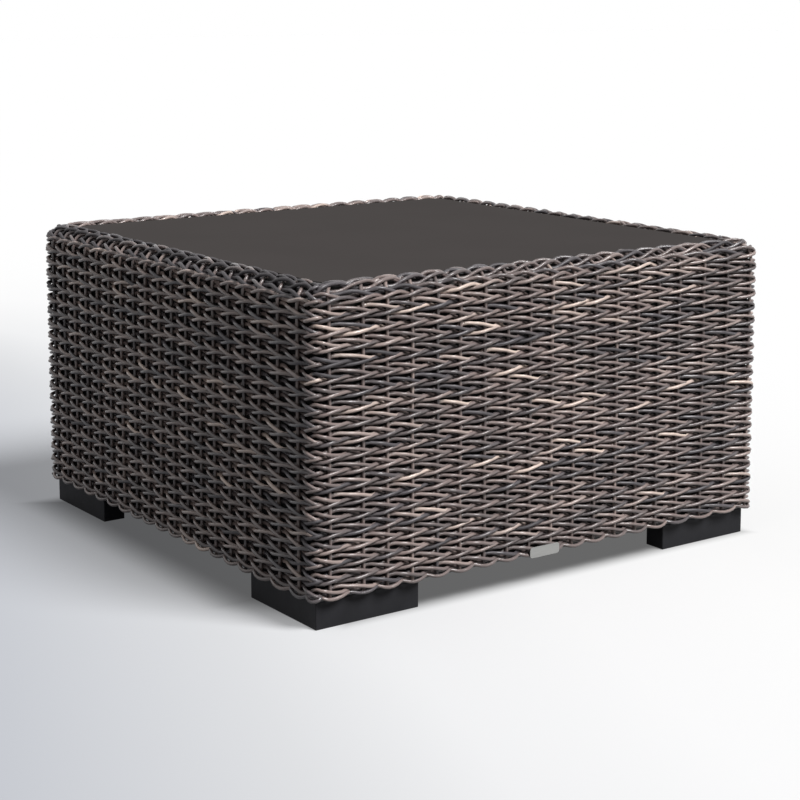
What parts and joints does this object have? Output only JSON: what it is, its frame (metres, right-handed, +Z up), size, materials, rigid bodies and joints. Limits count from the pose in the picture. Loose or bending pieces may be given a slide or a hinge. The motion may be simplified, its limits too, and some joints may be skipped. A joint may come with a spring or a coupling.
{
  "type": "woven coffee table",
  "caption": "Square outdoor coffee table with woven resin sides, a rolled woven rim, an inset loose glass top and L-shaped corner feet.",
  "frame": {"origin": "on the floor, under the middle of the table", "axes": "+Z up, +X along the front side to the right, +Y from the front side to the back"},
  "size_m": [0.8, 0.8013, 0.452],
  "materials": {
    "weave": "satin",
    "glass": "satin",
    "frame": "powder coated black",
    "plug": "matte",
    "bumper": "matte",
    "foot": "satin",
    "screw": "zinc plated",
    "plate": "satin"
  },
  "bodies": {
    "frame": {"bar_bumper_back_left": "bumper", "bar_bumper_back_right": "bumper", "bar_bumper_front_left": "bumper", "bar_bumper_front_right": "bumper", "base_rail_back": "frame", "base_rail_front": "frame", "base_rail_left": "frame", "base_rail_right": "frame", "foot_back_left": "foot", "foot_back_right": "foot", "foot_front_left": "foot", "foot_front_right": "foot", "foot_screw_back_left_a": "screw", "foot_screw_back_left_b": "screw", "foot_screw_back_right_a": "screw", "foot_screw_back_right_b": "screw", "foot_screw_front_left_a": "screw", "foot_screw_front_left_b": "screw", "foot_screw_front_right_a": "screw", "foot_screw_front_right_b": "screw", "glass_bar_back": "frame", "glass_bar_front": "frame", "glass_ledge_back": "frame", "glass_ledge_front": "frame", "glass_ledge_left": "frame", "glass_ledge_right": "frame", "ledge_bumper_back_left": "bumper", "ledge_bumper_back_right": "bumper", "ledge_bumper_front_left": "bumper", "ledge_bumper_front_right": "bumper", "plate": "plate", "post_back_left": "frame", "post_back_right": "frame", "post_front_left": "frame", "post_front_right": "frame", "post_plug_back_left": "plug", "post_plug_back_right": "plug", "post_plug_front_left": "plug", "post_plug_front_right": "plug", "top_rail_back": "frame", "top_rail_front": "frame", "top_rail_left": "frame", "top_rail_right": "frame", "woven_rim": "weave", "woven_wall": "weave"},
    "glass": {"glass_top": "glass"}
  },
  "joints": [
    {"name": "glass_lift", "type": "slide", "parent": "frame", "child": "glass", "axis": [0, 0, 1], "range_m": [0, 0.06]}
  ]
}
